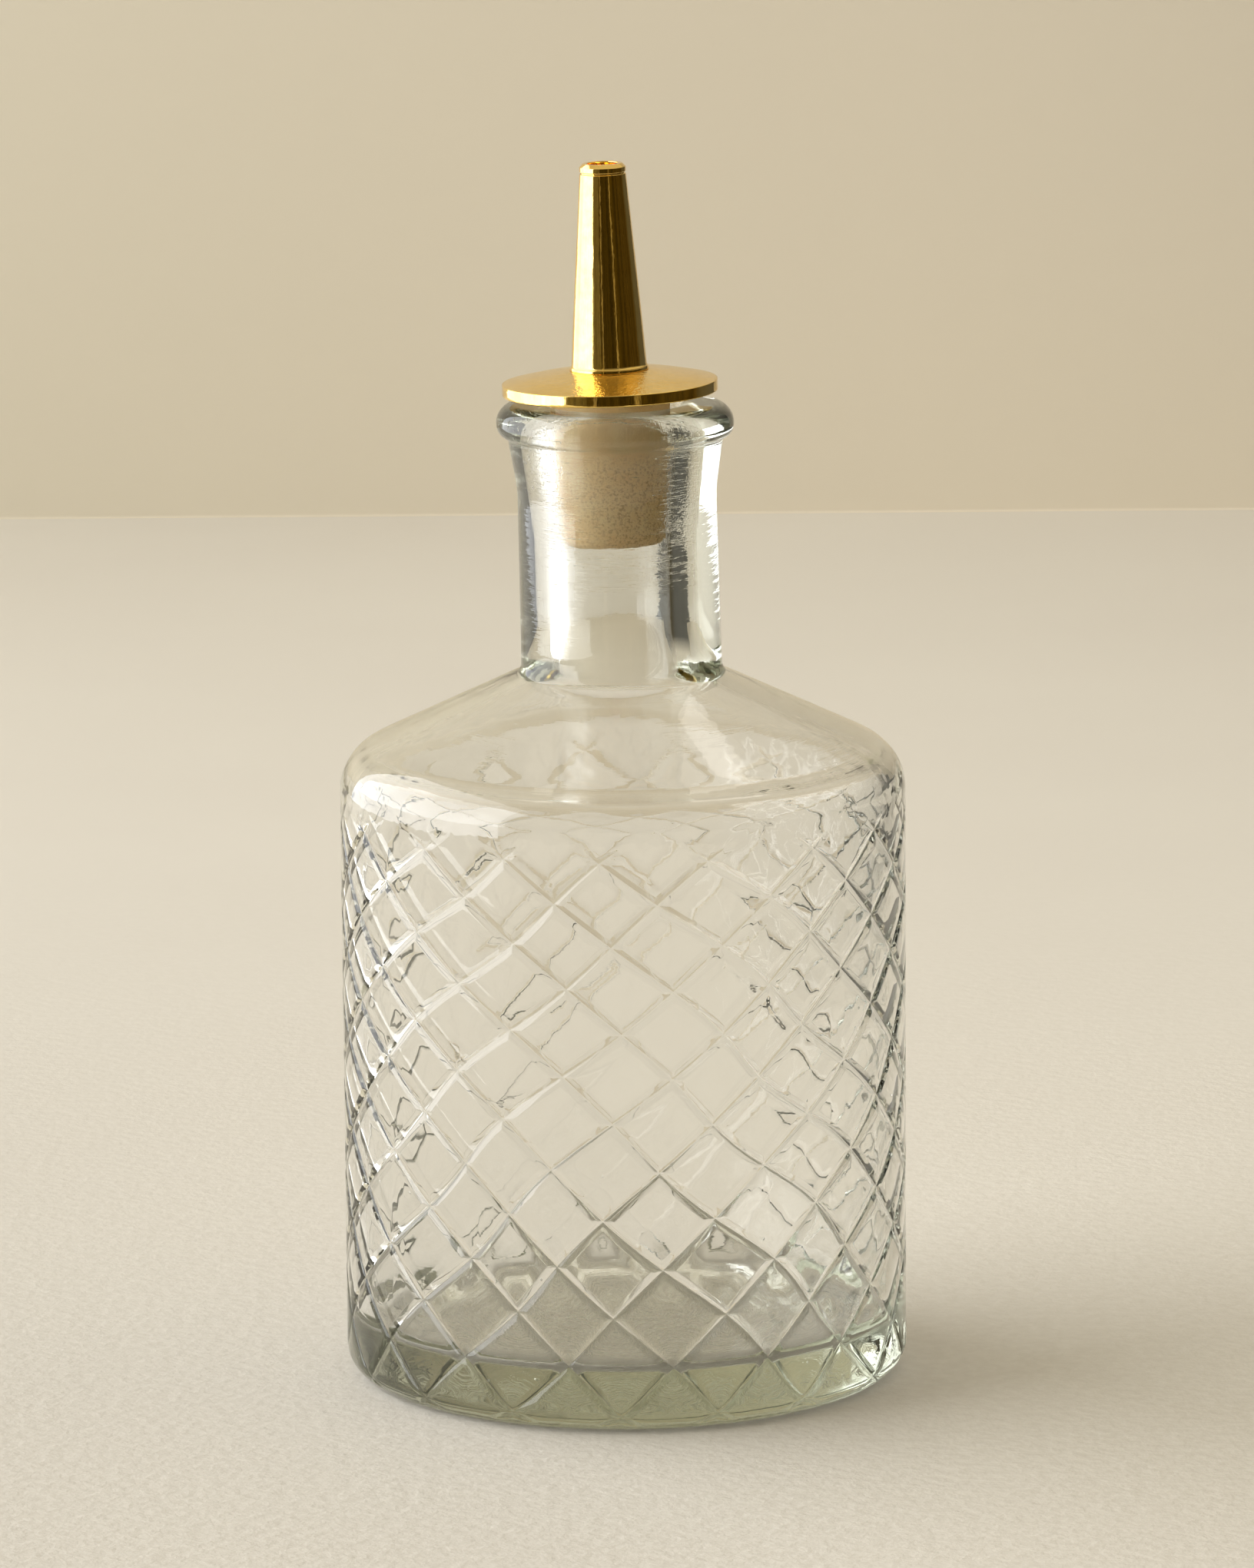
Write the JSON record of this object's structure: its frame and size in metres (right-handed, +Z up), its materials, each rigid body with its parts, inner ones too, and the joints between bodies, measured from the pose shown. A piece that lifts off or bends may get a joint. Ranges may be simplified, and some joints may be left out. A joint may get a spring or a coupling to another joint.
{
  "type": "bitters bottle",
  "caption": "Cut-glass bitters bottle with a lift-out dasher top: a tapered spout and flange disc on a stem tube through a soft stopper.",
  "frame": {"origin": "middle of the flat base, at the lowest point of the bottle", "axes": "+Z up the bottle's axis to the mouth; -Y is the side that the first column of diamonds faces; the dasher top leans towards -X"},
  "size_m": [0.07, 0.07, 0.151],
  "materials": {
    "clear_glass": "clear, fire-polished, with polished cuts",
    "stopper_silicone": "matte cream",
    "polished_brass": "polished, gold-coloured"
  },
  "bodies": {
    "bottle": {"glass_bottle": "clear_glass"},
    "dasher_top": {"stopper": "stopper_silicone", "flange_disc": "polished_brass", "spout": "polished_brass", "stem_tube": "polished_brass"}
  },
  "joints": [
    {"name": "dasher_lift", "type": "slide", "parent": "bottle", "child": "dasher_top", "axis": [-0.0262, 0, 0.9997], "range_m": [0, 0.045]}
  ]
}
